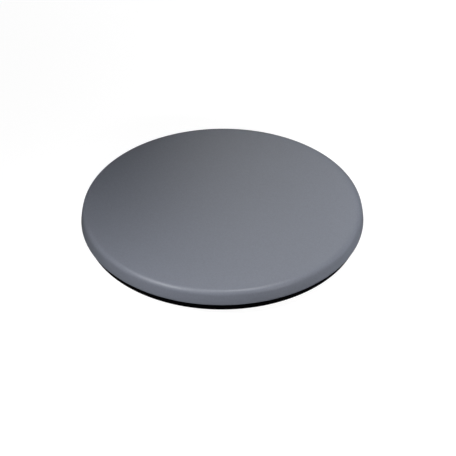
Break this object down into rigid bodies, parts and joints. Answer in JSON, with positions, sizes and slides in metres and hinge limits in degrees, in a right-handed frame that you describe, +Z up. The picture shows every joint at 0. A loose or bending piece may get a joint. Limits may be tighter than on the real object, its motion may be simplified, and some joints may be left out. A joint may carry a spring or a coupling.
{
  "type": "sink strainer cover",
  "caption": "Round crowned cover that stands over a sink's basket strainer on rubber feet and grips the strainer's knob.",
  "frame": {"origin": "on the disc's axis, in the plane that the three feet stand on", "axes": "+Z up along the disc's axis, -Y towards the picture's front"},
  "size_m": [0.116, 0.116, 0.013],
  "materials": {
    "grey_composite": "satin, fine grained",
    "black_elastomer": "matt",
    "black_plastic": "fine moulded texture",
    "grey_elastomer": "matt",
    "brass": "machined",
    "stainless_steel": "rolled",
    "foot_rubber": "matt"
  },
  "bodies": {
    "root": {"cover_disc": "grey_composite", "edge_ring": "black_elastomer", "carrier_plate": "black_plastic", "knob_grip": "grey_elastomer", "screw_insert_1": "brass", "screw_insert_2": "brass", "screw_insert_3": "brass", "carrier_screw_1": "stainless_steel", "carrier_screw_2": "stainless_steel", "carrier_screw_3": "stainless_steel", "foot_1": "foot_rubber", "foot_2": "foot_rubber", "foot_3": "foot_rubber"}
  },
  "joints": []
}
